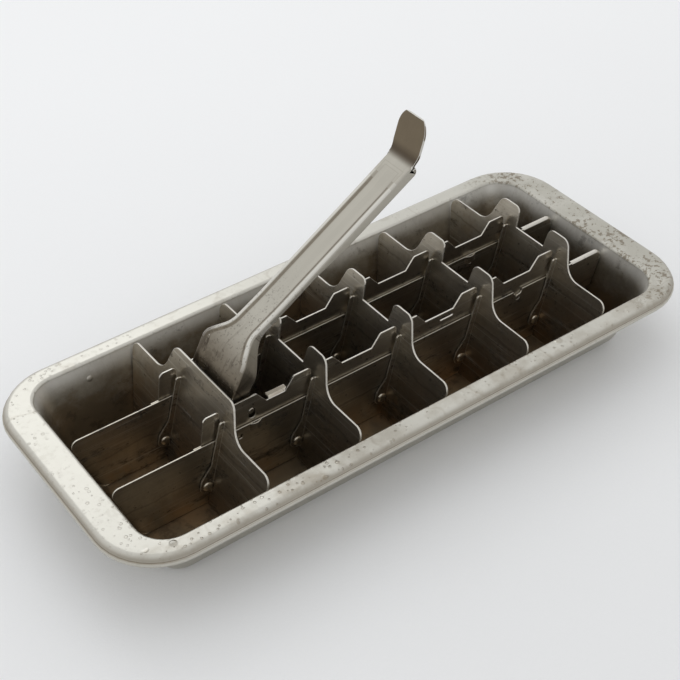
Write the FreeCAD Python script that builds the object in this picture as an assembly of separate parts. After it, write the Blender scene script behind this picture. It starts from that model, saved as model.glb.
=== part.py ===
import FreeCAD, Part
import math
import os

# Lever ice cube tray: a drawn steel pan with a divider grid that lifts out.
# The grid has two long dividers, and five cross dividers that straddle them and
# tilt on rivets near the floor. A hand lever turns on a rod between the long
# dividers and draws two slide bars, which tip the cross dividers together.
# +X runs along the tray from the lever's foot to the far end, +Z is up, and the
# origin is on the table under the pan's centre. Lengths are in millimetres.

V = FreeCAD.Vector

# Pan
pan_sheet = 0.8
pan_depth = 31.8
opening_length = 250.0
opening_width = 102.7
opening_corner_radius = 13.0
floor_corner_radius = 8.5
floor_edge_radius = 6.0
round_steps = 3
cut_over = 1.0
tolerance = 0.001
wall_draft = 18.5
rim_end_width = 13.5
rim_side_width = 8.3
rim_corner_radius = 26.0
rim_lip_height = 4.4
rim_shoulder_radius = 2.6
rim_bead_width = 0.7
rim_bead_height = 2.0
rim_bead_toe = 0.4
rim_bead_shoulder = 0.25
opening_edge_radius = 1.5
dimple_radius = 1.5
dimple_rise = 0.5
dimple_from_end = 28.3
dimple_below_rim = 7.2

# Long dividers, each two leaves of sheet with a slide bar between them
divider_offset = 15.84
divider_leaf = 0.6
divider_below_rim = 1.7
divider_floor_gap = 0.2
divider_wall_gap = 0.7
divider_corner_radius = 3.0
divider_foot_corner = 7.0
divider_web_height = 1.2
far_leaf_corner_radius = 1.0
far_leaf_drop = 4.0
far_leaf_from_plate = 15.8
hem_play = 0.5

# Slide bars
bar_sheet = 0.7
bar_side_play = 0.25
bar_foot_below_rim = 15.0
bar_low_above_rim = 5.1
bar_tab_above_rim = 10.6
bar_notch_below_rim = 2.0
bar_tab_length = 8.0
bar_tab_lean = 0.95
bar_ramp_length = 4.4
bar_heel_length = 5.0
bar_heel_slope = 4.5
bar_block_length = 11.4
bar_block_slope = 4.2
bar_left_overhang = 10.0
bar_notch_play = 0.35
bar_end_length = 1.5
bar_slot_play = 0.25
bar_foot_radius = 3.0
bar_tab_radius = 2.2
bar_step_radius = 1.4
hook_start = 31.3
hook_length = 8.7
hook_root = 1.0
hook_rise = 1.6
hook_reach = 2.9
hook_tip_rise = 0.5
hook_bend_radius = 1.6
pierced_slot_place = 0.75
pierced_slot_length = 7.0
pierced_slot_width = 1.5

# Cross dividers
plate_count = 5
end_cell_length = 41.0
plate_row_shift = 0.2
plate_sheet = 0.9
plate_tilt = 15.5
plate_end_above_rim = 2.0
plate_low_above_rim = 7.4
plate_hump_above_rim = 16.2
plate_hump_inner = 8.6
plate_hump_lean = 1.1
plate_hump_outer = 20.9
plate_hump_foot = 26.3
plate_hump_radius = 4.5
plate_hump_inner_radius = 3.0
plate_foot_radius = 8.0
plate_end_radius = 4.0
plate_slot_above_divider = 2.2
plate_slot_play = 0.35
plate_wall_gap = 0.5
plate_foot_depth = 8.9
plate_foot_corner = 6.0
hinge_above_floor = 10.0
hinge_offset = 2.6
flap_sheet = 0.8
flap_width = 2.2
flap_above_rim = 6.3
flap_ear_radius = 3.2
flap_hip = 0.9
flap_neck = 3.0
flap_tip_rounding = 0.45

# Lever
lever_sheet = 1.0
lever_raise = 31.9
lever_lowest = -35.5
lever_highest = 32.0
shaft_height = 25.0
shaft_half_width = 7.4
apron_start = (1.4, 18.9)
apron_crest = (13.9, 26.1)
apron_crest_radius = 12.0
apron_shoulder = 13.5
apron_shoulder_radius = 6.0
apron_neck = 23.0
apron_neck_radius = 9.0
crest_end = 38.0
shaft_end = 113.5
thumb_length = 16.9
thumb_angle = 40.0
thumb_half_width = 7.9
thumb_bend_radius = 9.0
thumb_corner_radius = 6.0
flange_depth_base = 2.5
flange_depth_tip = 4.2
arm_half_width = 4.4
arm_foot_radius = 4.39
arm_side_gap = 0.29
arm_foot_rise = 5.0
arm_heel_rise = 3.0
arm_blend_radius = 5.0
arm_waist = (6.5, 13.6)
flange_knee = 27.0
flange_knee_radius = 9.0
flange_taper = (0.5, 0.64)
flange_taper_lift = 0.2
flange_end_gap = 1.0
flange_end_radius = 2.2
hollow_end_gap = 0.9
hollow_reach = 20.0
hollow_plan_share = 0.3
thumb_flare = 3.0

# Pins and rivets
rod_from_plate = 24.8
rod_below_rim = 4.5
rod_radius = 1.5
rod_head_radius = 2.2
rod_head_height = 0.8
running_play = 0.05
crank_length = 8.0
crank_lean = 12.0
drive_pin_radius = 1.25
drive_pin_play = 0.2
rivet_radius = 1.25
rivet_head_radius = 2.1
rivet_crown_radius = 1.3
rivet_head_height = 0.8
rivet_head_gap = 0.15
guide_rivet_from_plate = 10.2
guide_rivet_below_rim = 5.2
cup_radius = 4.2
cup_reach = 1.1
cup_from_rod = -0.7
cup_wall = 0.6
cup_height = 3.4
notch_radius = 2.4
drain_hole_radius = 1.2
drain_hole_from_plate = 16.9
drain_hole_below_rim = 5.8

# Motion: one turn of the lever tips each cross divider by this share of it
plate_turn_ratio = 0.28
bar_travel_per_radian = 7.45

rim_z = pan_sheet + pan_depth
floor_z = pan_sheet
bar_gap = bar_sheet + 2 * bar_side_play
divider_thickness = 2 * divider_leaf + bar_gap
divider_top = rim_z - divider_below_rim
divider_foot = floor_z + divider_floor_gap
draft_slope = math.tan(math.radians(wall_draft))
hinge_z = floor_z + hinge_above_floor
rod_z = rim_z - rod_below_rim
plate_slot_half = divider_thickness / 2 + plate_slot_play
arm_outer_y = divider_offset - divider_thickness / 2 - arm_side_gap
plate_pitch = (opening_length - 2 * end_cell_length) / (plate_count - 1)
AXIS_Y = V(0, 1, 0)


def hinge_x(index):
    return plate_row_shift + (index - (plate_count - 1) / 2) * plate_pitch


rod_at = hinge_x(0) + rod_from_plate
far_leaf_start = hinge_x(0) + far_leaf_from_plate
guide_rivet_at = hinge_x(plate_count - 1) - guide_rivet_from_plate


def wall_half_width(z):
    return opening_width / 2 - (rim_z - z) * draft_slope


def wall_half_length(z):
    return opening_length / 2 - (rim_z - z) * draft_slope


def rounded_wire(corners, place):
    """A closed wire through corners (a, b, radius), rounded by arcs."""
    count = len(corners)
    starts, ends, middles = [], [], []
    for i, (a, b, radius) in enumerate(corners):
        here = V(a, b, 0)
        before = V(corners[i - 1][0], corners[i - 1][1], 0) - here
        after = V(corners[(i + 1) % count][0], corners[(i + 1) % count][1], 0) - here
        before.normalize()
        after.normalize()
        half = before.getAngle(after) / 2
        if radius == 0 or half > math.pi / 2 - 1e-4:
            starts.append(here)
            ends.append(here)
            middles.append(None)
            continue
        reach = radius / math.tan(half)
        bisector = before + after
        bisector.normalize()
        starts.append(here + before * reach)
        ends.append(here + after * reach)
        middles.append(here + bisector * (radius / math.sin(half) - radius))
    edges = []
    for i in range(count):
        if middles[i] is not None:
            arc_points = [place(p.x, p.y) for p in (starts[i], middles[i], ends[i])]
            edges.append(Part.Arc(*arc_points).toShape())
        start, end = ends[i], starts[(i + 1) % count]
        if start.distanceToPoint(end) > 1e-6:
            edges.append(Part.LineSegment(place(start.x, start.y), place(end.x, end.y)).toShape())
    return Part.Wire(edges)


def prism(corners, place, along):
    return Part.Face(rounded_wire(corners, place)).extrude(along)


def side_prism(corners, y_low, y_high):
    """A solid with its outline in the XZ plane, between two Y planes."""
    return prism(corners, lambda a, b: V(a, y_low, b), V(0, y_high - y_low, 0))


def cross_prism(corners, x_low, x_high):
    """A solid with its outline in the YZ plane, between two X planes."""
    return prism(corners, lambda a, b: V(x_low, a, b), V(x_high - x_low, 0, 0))


def rectangle(a_half, b_half, radius):
    return [(-a_half, -b_half, radius), (a_half, -b_half, radius),
            (a_half, b_half, radius), (-a_half, b_half, radius)]


def ring(length_half, width_half, radius, z):
    corners = rectangle(length_half, width_half, radius)
    return rounded_wire(corners, lambda a, b: V(a, b, z))


def arc_steps(low, high):
    """Angles from low to high degrees, as radians, for a rounding."""
    return [math.radians(low + (high - low) * i / round_steps) for i in range(round_steps + 1)]


def y_cylinder(x, z, radius, y_low, y_high):
    return Part.makeCylinder(radius, y_high - y_low, V(x, y_low, z), AXIS_Y)


def slot_prism(x_low, x_high, z_low, z_high, y_low, y_high):
    """A slot through a sheet that lies in an XZ plane, with round ends."""
    radius = min(x_high - x_low, z_high - z_low) / 2 - tolerance
    corners = [(x_low, z_low, radius), (x_high, z_low, radius),
               (x_high, z_high, radius), (x_low, z_high, radius)]
    return side_prism(corners, y_low, y_high)


def edges_where(shape, test):
    return [edge for edge in shape.Edges if test(edge.BoundBox)]


def wall_ring(out, z):
    """A ring that stands out from the pan's inner wall line by out, at height z."""
    rise = (z - floor_z) / pan_depth
    radius = floor_corner_radius + rise * (opening_corner_radius - floor_corner_radius) + out
    return ring(wall_half_length(z) + out, wall_half_width(z) + out, radius, z)


def floor_rounding(thickness):
    """Rings that round the floor into the wall, thickness outside the inner surface."""
    radius = floor_edge_radius + thickness
    centre_z = floor_z + floor_edge_radius
    rings = []
    for angle in arc_steps(0, 90 - wall_draft):
        z = centre_z - radius * math.cos(angle)
        across = radius * math.sin(angle) - floor_edge_radius / math.cos(math.radians(wall_draft))
        rings.append(wall_ring(across + (centre_z - z) * draft_slope, z))
    return rings


def opening_rounding():
    """Rings that round the wall over into the rim's top."""
    centre_z = rim_z - opening_edge_radius
    centre_out = opening_edge_radius / math.cos(math.radians(wall_draft))
    rings = []
    for angle in arc_steps(wall_draft, 90):
        z = centre_z + opening_edge_radius * math.sin(angle)
        across = centre_out - opening_edge_radius * math.cos(angle)
        rings.append(wall_ring(across + (centre_z - z) * draft_slope, z))
    return rings


def rim_ring(out, z):
    return ring(opening_length / 2 + rim_end_width + out, opening_width / 2 + rim_side_width + out,
                rim_corner_radius + out, z)


def shoulder_rings(thickness):
    """Rings that round the lip over into the rim's top, thickness inside the outer surface."""
    radius = rim_shoulder_radius - thickness
    centre_z = rim_z - rim_shoulder_radius
    return [rim_ring(radius * math.cos(angle) - rim_shoulder_radius, centre_z + radius * math.sin(angle))
            for angle in arc_steps(0, 90)]


def stack(rings):
    return Part.makeLoft(rings, True, True)


def make_pan():
    wall_offset = pan_sheet / math.cos(math.radians(wall_draft))
    lip_z = rim_z - rim_lip_height
    bead = [rim_ring(rim_bead_toe * rim_bead_width, lip_z),
            rim_ring(rim_bead_width, lip_z + rim_bead_shoulder * rim_bead_height),
            rim_ring(rim_bead_width, lip_z + (1 - rim_bead_shoulder) * rim_bead_height),
            rim_ring(0, lip_z + rim_bead_height)]
    rim = stack(bead + shoulder_rings(0))
    under = stack([rim_ring(-pan_sheet, lip_z - cut_over)] + shoulder_rings(pan_sheet))
    body = stack(floor_rounding(pan_sheet) + [wall_ring(wall_offset, rim_z - pan_sheet / 2)])
    above_rim = ring(opening_length / 2 + opening_edge_radius, opening_width / 2 + opening_edge_radius,
                     opening_corner_radius + opening_edge_radius, rim_z + cut_over)
    cavity = stack(floor_rounding(0) + opening_rounding() + [above_rim])
    shell = rim.cut(under).fuse(body).cut(cavity)

    dimple_z = rim_z - dimple_below_rim
    ball_radius = (dimple_radius ** 2 + dimple_rise ** 2) / (2 * dimple_rise)
    ball = Part.makeSphere(ball_radius, V(-opening_length / 2 + dimple_from_end,
                                          wall_half_width(dimple_z) + ball_radius - dimple_rise, dimple_z))
    return shell.fuse(ball.common(body)).removeSplitter()


def divider_outline(z_high, x_low, corner_radius):
    """The side outline of a long divider's leaf, which follows the pan's end walls."""
    z_low = divider_foot
    foot_radius = divider_foot_corner
    low_end = wall_half_length(z_low) - divider_wall_gap
    high_end = wall_half_length(z_high) - divider_wall_gap
    if x_low is None:
        left = [(-low_end, z_low, foot_radius), (-high_end, z_high, corner_radius)]
    else:
        left = [(x_low, z_low, 0), (x_low, z_high, corner_radius)]
    return left + [(high_end, z_high, corner_radius), (low_end, z_low, foot_radius)]


def make_cup(x, face_y):
    """A shallow cup pressed out of a leaf's top edge, towards -Y."""
    axis_y = face_y + cup_radius - cup_reach
    z_low = divider_top - cup_height
    cup = Part.makeCylinder(cup_radius, cup_height, V(x, axis_y, z_low))
    inside = Part.makeCylinder(cup_radius - cup_wall, cup_height, V(x, axis_y, z_low + cup_wall))
    beyond = Part.makeBox(2 * cup_radius, 2 * cup_radius, cup_height, V(x - cup_radius, face_y, z_low))
    return cup.cut(inside).cut(beyond)


def make_long_divider(side):
    """One long divider: two leaves on a web, closed by a hem at the far end."""
    middle = side * divider_offset
    near_y = middle - divider_thickness / 2
    far_y = middle + divider_thickness / 2
    whole = divider_outline(divider_top, None, divider_corner_radius)
    half_length = wall_half_length(divider_top)
    far_top = divider_top - far_leaf_drop

    near_leaf = side_prism(whole, near_y, near_y + divider_leaf)
    far_outline = divider_outline(far_top, far_leaf_start, far_leaf_corner_radius)
    far_leaf = side_prism(far_outline, far_y - divider_leaf, far_y)
    web = side_prism(far_outline, near_y, far_y)
    web = web.common(Part.makeBox(2 * half_length, divider_thickness, divider_web_height,
                                  V(-half_length, near_y, divider_foot)))
    hem_x = bar_end_x() + bar_travel_per_radian * math.radians(-lever_lowest) + hem_play
    hem = side_prism(whole, near_y, far_y)
    hem = hem.common(Part.makeBox(half_length, divider_thickness, far_leaf_drop + divider_leaf,
                                  V(hem_x, near_y, far_top - divider_leaf)))
    crest = edges_where(hem, lambda box: box.ZMin > divider_top - tolerance and box.YLength < tolerance)
    hem = hem.makeChamfer(divider_leaf, crest)
    trim = Part.makeBox(half_length, divider_leaf, far_leaf_drop, V(hem_x, near_y, far_top))
    divider = near_leaf.fuse([far_leaf, web]).cut(trim).fuse(hem)

    divider = divider.cut(y_cylinder(rod_at, rod_z, rod_radius, near_y - cut_over, far_y + cut_over))
    divider = divider.cut(y_cylinder(guide_rivet_at, rim_z - guide_rivet_below_rim, rivet_radius,
                                     near_y - cut_over, far_y + cut_over))
    for index in range(plate_count):
        divider = divider.cut(y_cylinder(hinge_x(index), hinge_z, rivet_radius,
                                         near_y - cut_over, far_y + cut_over))
    divider = divider.fuse(make_cup(rod_at + cup_from_rod if side < 0 else guide_rivet_at, near_y))
    if side < 0:
        leaf_back = near_y + divider_leaf + bar_side_play / 2
        divider = divider.cut(y_cylinder(guide_rivet_at, divider_top, notch_radius,
                                         near_y - cut_over, leaf_back))
        divider = divider.cut(y_cylinder(hinge_x(0) + drain_hole_from_plate, rim_z - drain_hole_below_rim,
                                         drain_hole_radius, near_y - cut_over, leaf_back))
    return divider.removeSplitter()


def lever_steps(count=24):
    step = (lever_highest - lever_lowest) / count
    return [math.radians(lever_lowest + i * step) for i in range(count + 1)]


def plate_face_x(lever_turn, z, face):
    """X of a cross divider's face at height z, from its hinge, as the bar sees it."""
    tilt = math.radians(plate_tilt) - plate_turn_ratio * lever_turn
    out = hinge_offset + face * plate_sheet / 2
    x = (z - hinge_z) * math.tan(tilt) + out / math.cos(tilt)
    return x + bar_travel_per_radian * lever_turn


def notch_edges(z):
    """How far the cross divider reaches in the bar's frame at height z, with play."""
    low = min(plate_face_x(turn, z, -1) for turn in lever_steps()) - bar_notch_play
    high = max(plate_face_x(turn, z, 1) for turn in lever_steps()) + bar_notch_play
    return low, high


def crank_pin_place(lever_turn):
    """Centre of the drive pin from the rod, for a turn of the lever."""
    lean = math.radians(crank_lean) + lever_turn
    return -crank_length * math.sin(lean), crank_length * math.cos(lean)


def bar_end_x():
    """The far end of a slide bar, just past the last cross divider."""
    return hinge_x(plate_count - 1) + notch_edges(rim_z + bar_tab_above_rim)[1] + bar_end_length


def bar_outline():
    tab_z = rim_z + bar_tab_above_rim
    low_z = rim_z + bar_low_above_rim
    notch_z = rim_z - bar_notch_below_rim
    foot_z = rim_z - bar_foot_below_rim
    deep_low, deep_high = notch_edges(notch_z)
    tab_high = notch_edges(tab_z)[1]
    mid_low = notch_edges(low_z)[0]
    first = hinge_x(0)
    corners = [(first + deep_low - bar_left_overhang, foot_z, bar_foot_radius),
               (first + deep_low - bar_left_overhang, notch_z, 0),
               (first + mid_low - bar_tab_length - bar_tab_lean, notch_z, 0),
               (first + mid_low - bar_tab_length + bar_tab_lean, tab_z, bar_tab_radius)]
    for index in range(plate_count):
        x = hinge_x(index)
        corners += [(x + mid_low, tab_z, bar_step_radius), (x + mid_low, low_z, 0),
                    (x + deep_low, notch_z, 0), (x + deep_high, notch_z, 0), (x + tab_high, tab_z, 0)]
        if index == plate_count - 1:
            corners += [(bar_end_x(), tab_z, 0), (bar_end_x(), foot_z, bar_foot_radius)]
            continue
        length = bar_block_length if index == 0 else bar_heel_length
        slope = bar_block_slope if index == 0 else bar_heel_slope
        ramp_top = x + plate_pitch + mid_low - bar_tab_length
        corners += [(x + tab_high + length, tab_z, 0), (x + tab_high + length + slope, low_z, 0),
                    (ramp_top - bar_ramp_length, low_z, 0), (ramp_top, tab_z, bar_step_radius)]
    return corners


def make_slide_bar(side):
    middle = side * divider_offset
    y_low = middle - bar_sheet / 2
    y_high = middle + bar_sheet / 2
    bar = side_prism(bar_outline(), y_low, y_high)

    pins = [crank_pin_place(turn) for turn in lever_steps()]
    shifts = [bar_travel_per_radian * turn for turn in lever_steps()]
    across = [rod_at + pin[0] + shift for pin, shift in zip(pins, shifts)]
    heights = [rod_z + pin[1] for pin in pins]
    reach = drive_pin_radius + drive_pin_play
    drive_slot = slot_prism(min(across) - reach, max(across) + reach,
                            min(heights) - reach, max(heights) + reach, y_low - cut_over, y_high + cut_over)
    bar = bar.cut(drive_slot)
    for x, z, radius in ((rod_at, rod_z, rod_radius),
                         (guide_rivet_at, rim_z - guide_rivet_below_rim, rivet_radius)):
        reach = radius + bar_slot_play
        guide_slot = slot_prism(x + min(shifts) - reach, x + max(shifts) + reach,
                                z - reach, z + reach, y_low - cut_over, y_high + cut_over)
        bar = bar.cut(guide_slot)
    hook_x = hinge_x(0) + hook_start
    hook_base = rim_z + bar_low_above_rim - hook_root
    hook_top = hook_base + hook_rise
    curl = [(y_low, hook_base, 0), (y_low, hook_top, hook_bend_radius),
            (y_low + hook_reach, hook_top + hook_tip_rise, 0),
            (y_low + hook_reach, hook_top + hook_tip_rise - bar_sheet, 0),
            (y_high, hook_top - bar_sheet, hook_bend_radius - bar_sheet), (y_high, hook_base, 0)]
    if side < 0:
        bar = bar.fuse(cross_prism(curl, hook_x, hook_x + hook_length))
        slot_x = hinge_x(2) + pierced_slot_place * plate_pitch
        slot_z = rim_z + bar_low_above_rim / 2
        bar = bar.cut(slot_prism(slot_x, slot_x + pierced_slot_length,
                                 slot_z - pierced_slot_width / 2, slot_z + pierced_slot_width / 2,
                                 y_low - cut_over, y_high + cut_over))
    return bar.removeSplitter()


def along_plate(z):
    """How far up a cross divider from its hinge a height z lies at rest."""
    tilt = math.radians(plate_tilt)
    return (z - hinge_z + hinge_offset * math.sin(tilt)) / math.cos(tilt)


def plate_end_half(height):
    """Half width of a cross divider at a height along it, clear of the pan's wall."""
    steepest = math.radians(plate_tilt - plate_turn_ratio * lever_lowest)
    z = hinge_z + height * math.cos(steepest) - hinge_offset * math.sin(steepest)
    return wall_half_width(z) - plate_wall_gap


def plate_outline(low_middle):
    slot_in = divider_offset - plate_slot_half
    slot_out = divider_offset + plate_slot_half
    slot_top = along_plate(divider_top + plate_slot_above_divider)
    end_top = along_plate(rim_z + plate_end_above_rim)
    hump_top = along_plate(rim_z + plate_hump_above_rim)
    low_top = along_plate(rim_z + plate_low_above_rim)
    half = [(plate_hump_outer, hump_top, plate_hump_radius),
            (plate_hump_foot, end_top, plate_foot_radius),
            (plate_end_half(end_top), end_top, plate_end_radius),
            (plate_end_half(-plate_foot_depth), -plate_foot_depth, plate_foot_corner),
            (slot_out, -plate_foot_depth, 0), (slot_out, slot_top, 0),
            (slot_in, slot_top, 0), (slot_in, -plate_foot_depth, 0)]
    if low_middle:
        half = [(plate_hump_inner, low_top, 0),
                (plate_hump_inner + plate_hump_lean, hump_top, plate_hump_inner_radius)] + half
    mirrored = [(-y, v, radius) for y, v, radius in reversed(half)]
    return half + mirrored


def flap_outline():
    """A flap bent back along a slot, with the hinge ear at its foot."""
    root = hinge_offset
    tip = hinge_offset - plate_sheet / 2 - flap_width
    ear = flap_ear_radius
    top = along_plate(rim_z + flap_above_rim)
    hip = flap_hip * ear
    return [(root, -ear, 0), (-ear, -ear, hip), (-ear, hip, 0), (tip, flap_neck * ear, 0),
            (tip, top, flap_tip_rounding * flap_width), (root, top, 0)]


def make_cross_divider(index):
    face = hinge_offset - plate_sheet / 2
    plate = cross_prism(plate_outline(index > 0), face, face + plate_sheet)
    for side in (-1, 1):
        flap_y = side * divider_offset - plate_slot_half - flap_sheet
        flap = side_prism(flap_outline(), flap_y, flap_y + flap_sheet)
        plate = plate.fuse(flap)
        hole = y_cylinder(0, 0, rivet_radius + running_play, flap_y - cut_over, flap_y + flap_sheet)
        plate = plate.cut(hole)
    plate = plate.removeSplitter()
    plate.rotate(V(0, 0, 0), AXIS_Y, plate_tilt)
    plate.translate(V(hinge_x(index), 0, hinge_z))
    return plate


def make_plate_rivets(side):
    near_y = side * divider_offset - divider_thickness / 2
    flap_y = side * divider_offset - plate_slot_half - flap_sheet
    head_y = flap_y - rivet_head_gap
    rivets = []
    for index in range(plate_count):
        single_leaf = hinge_x(index) < far_leaf_start
        tail_y = near_y + (divider_leaf if single_leaf else divider_thickness)
        x = hinge_x(index)
        shank = y_cylinder(x, hinge_z, rivet_radius, head_y, tail_y)
        head = Part.makeCone(rivet_crown_radius, rivet_head_radius, rivet_head_height,
                             V(x, head_y - rivet_head_height, hinge_z), AXIS_Y)
        rivets.append(shank.fuse(head).removeSplitter())
    return Part.makeCompound(rivets)


def make_guide_rivet(side):
    near_y = side * divider_offset - divider_thickness / 2
    far_y = near_y + divider_thickness
    z = rim_z - guide_rivet_below_rim
    rivet = y_cylinder(guide_rivet_at, z, rivet_radius, near_y, far_y)
    head = y_cylinder(guide_rivet_at, z, rivet_head_radius, far_y, far_y + rivet_head_height)
    return rivet.fuse(head).removeSplitter()


def make_pivot_rod():
    """The lever's rod, flush in the front divider's face and headed behind the back one."""
    outer = divider_offset + divider_thickness / 2
    rod = y_cylinder(rod_at, rod_z, rod_radius, -outer, outer)
    head = y_cylinder(rod_at, rod_z, rod_head_radius, outer, outer + rod_head_height)
    return rod.fuse(head).removeSplitter()


def lever_side():
    """The lever's side outline, with u along the shaft and v square to it from the rod."""
    u0, v0 = apron_start
    u1, v1 = apron_crest
    tab_u = thumb_length * math.cos(math.radians(thumb_angle))
    tab_v = thumb_length * math.sin(math.radians(thumb_angle))
    lean_u = lever_sheet * math.sin(math.radians(thumb_angle))
    lean_v = lever_sheet * math.cos(math.radians(thumb_angle))
    bend = lever_sheet * math.tan(math.radians(thumb_angle) / 2)
    base_flange = shaft_height - flange_depth_base
    tip_flange = shaft_height - flange_depth_tip
    top = [(u0, v0, 0), (u1, v1, apron_crest_radius), (crest_end, shaft_height, 0),
           (shaft_end, shaft_height, thumb_bend_radius),
           (shaft_end + tab_u, shaft_height + tab_v, 0),
           (shaft_end + tab_u + lean_u, shaft_height + tab_v - lean_v, 0),
           (shaft_end + bend, shaft_height - lever_sheet, thumb_bend_radius + lever_sheet)]
    flange_end = shaft_end - flange_end_gap
    taper_low, taper_high = flange_taper
    flange = [(flange_end, shaft_height - lever_sheet, 0), (flange_end, tip_flange, flange_end_radius),
              (taper_high * shaft_end, tip_flange + flange_taper_lift, 0),
              (taper_low * shaft_end, base_flange, 0), (flange_knee, base_flange, flange_knee_radius),
              (*arm_waist, arm_blend_radius), (arm_half_width, arm_foot_rise, arm_blend_radius),
              (arm_half_width, -arm_half_width, arm_foot_radius),
              (-arm_half_width, -arm_half_width, arm_foot_radius),
              (-arm_half_width, arm_heel_rise, arm_blend_radius)]
    return top + flange


def lever_hollow():
    """What the channel leaves open under the top skin, between the flanges."""
    u0, v0 = apron_start
    u1, v1 = apron_crest
    slope = math.atan2(v1 - v0, u1 - u0)
    under = lever_sheet / math.cos(slope)
    start = u0 - hollow_reach
    end = shaft_end - hollow_end_gap
    return [(start, v0 - under - hollow_reach * math.tan(slope), 0),
            (u1, v1 - under, apron_crest_radius - lever_sheet),
            (crest_end, shaft_height - lever_sheet, 0),
            (end, shaft_height - lever_sheet, 0), (end, -hollow_reach, 0), (start, -hollow_reach, 0)]


def lever_plan(inset):
    """The lever's outline from above, pulled in by inset for the channel's hollow."""
    back = hollow_plan_share * inset
    half = [(-2 * arm_half_width, arm_outer_y - inset, 0),
            (apron_shoulder - back, arm_outer_y - inset, apron_shoulder_radius),
            (apron_neck - back, shaft_half_width - inset, apron_neck_radius)]
    if inset == 0:
        tip_u = shaft_end + thumb_length * math.cos(math.radians(thumb_angle)) + lever_sheet
        half += [(shaft_end, shaft_half_width, 0), (shaft_end + thumb_flare, thumb_half_width, 0),
                 (tip_u, thumb_half_width, thumb_corner_radius)]
    else:
        half.append((shaft_end + thumb_length, shaft_half_width - inset, 0))
    return half + [(u, -w, radius) for u, w, radius in reversed(half)]


def make_lever():
    wide = 2 * divider_offset
    low, high = -wide, 2 * wide
    place = lambda a, b: V(a, b, low)
    skin = side_prism(lever_side(), -wide, wide)
    skin = skin.common(prism(lever_plan(0), place, V(0, 0, high - low)))
    hollow = side_prism(lever_hollow(), -wide, wide)
    hollow = hollow.common(prism(lever_plan(lever_sheet), place, V(0, 0, high - low)))
    lever = skin.cut(hollow)
    lever = lever.cut(y_cylinder(0, 0, rod_radius + running_play, -wide, wide))
    pin_x, pin_z = crank_pin_place(0)
    turn = math.radians(lever_raise)
    pin_u = pin_x * math.cos(turn) + pin_z * math.sin(turn)
    pin_v = -pin_x * math.sin(turn) + pin_z * math.cos(turn)
    lever = lever.cut(y_cylinder(pin_u, pin_v, drive_pin_radius, -wide, wide))
    lever = lever.removeSplitter()
    lever.rotate(V(0, 0, 0), AXIS_Y, -lever_raise)
    lever.translate(V(rod_at, 0, rod_z))
    return lever


def make_drive_pin(side):
    pin_x, pin_z = crank_pin_place(0)
    inner = side * (arm_outer_y - lever_sheet)
    outer = side * (divider_offset + bar_sheet / 2)
    return y_cylinder(rod_at + pin_x, rod_z + pin_z, drive_pin_radius, min(inner, outer), max(inner, outer))


def build():
    nodes = {
        "tray_pan": make_pan(),
        "lever_handle": make_lever(),
        "lever_pivot_rod": make_pivot_rod(),
    }
    for side, name in ((-1, "front"), (1, "back")):
        nodes["long_divider_" + name] = make_long_divider(side)
        nodes["slide_bar_" + name] = make_slide_bar(side)
        nodes["drive_pin_" + name] = make_drive_pin(side)
        nodes["plate_rivets_" + name] = make_plate_rivets(side)
        nodes["guide_rivet_" + name] = make_guide_rivet(side)
    for index in range(plate_count):
        nodes["cross_divider_%d" % (index + 1)] = make_cross_divider(index)
    return nodes


os.makedirs("parts", exist_ok=True)
for node_name, node_shape in build().items():
    solids = node_shape.Solids
    print("%-20s solids %d valid %s volume %.1f" %
          (node_name, len(solids), node_shape.isValid(), node_shape.Volume))
    node_shape.exportStep("parts/%s.step" % node_name)
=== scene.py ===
import math

import bmesh
import bpy
from mathutils import Matrix, Vector, noise


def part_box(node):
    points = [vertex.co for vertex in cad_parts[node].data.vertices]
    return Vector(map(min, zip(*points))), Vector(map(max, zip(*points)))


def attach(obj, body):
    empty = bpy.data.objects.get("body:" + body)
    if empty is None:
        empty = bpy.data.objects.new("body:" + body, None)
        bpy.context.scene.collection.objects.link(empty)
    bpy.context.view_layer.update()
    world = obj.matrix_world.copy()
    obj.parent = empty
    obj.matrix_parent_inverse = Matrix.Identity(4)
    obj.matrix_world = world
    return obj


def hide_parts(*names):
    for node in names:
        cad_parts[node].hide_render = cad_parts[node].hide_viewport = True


bl_info = {
    "name": "Lever ice cube tray",
    "version": (1, 0, 0),
    "blender": (4, 5, 0),
    "location": "View3D > Sidebar > Ice tray",
    "description": "Dresses the packed ice cube tray in satin steel and sets it on a pale floor",
    "category": "Object",
}

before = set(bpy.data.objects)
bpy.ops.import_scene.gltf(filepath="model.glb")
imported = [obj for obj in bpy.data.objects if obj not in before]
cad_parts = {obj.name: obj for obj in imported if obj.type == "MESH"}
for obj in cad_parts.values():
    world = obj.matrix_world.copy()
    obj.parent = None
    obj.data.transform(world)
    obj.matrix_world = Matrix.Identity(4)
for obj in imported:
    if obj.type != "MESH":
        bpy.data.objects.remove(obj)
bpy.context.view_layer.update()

MM = 0.001
ALONG, ACROSS, UP = 0, 1, 2

# Mesh making: when points are one, faces flat and edges sharp, and how many steps a rounding has
WELD = 1e-6
FLAT_ANGLE = math.radians(1.0)
SHARP_ANGLE = math.radians(32.0)
SMOOTH_ANGLE = math.radians(35.0)
FLAT_FACE_WEIGHT = 95
TURNED_STEPS = 40
DOME_STEPS = 5
DOME_START = 0.15
PANEL_STEPS = 5
BEND_STEPS = 5
EDGE_STEPS = 2
# Faint painted shade on the first and last ring of the lever panel's step.
FAINT_GROOVE_SHADE = 0.3

# How much of a unit length counts as facing a way, partly facing it, or running across
FACING = 0.7
PARTLY_FACING = 0.5
RUNNING_ACROSS = 0.8

# A sheet's cut is a face between two rounded edges: its most corners and width, its least rounded share
CUT_CORNERS = 8
CUT_WIDTH = 1.1
CUT_ROUNDED_SHARE = 0.15

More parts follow.
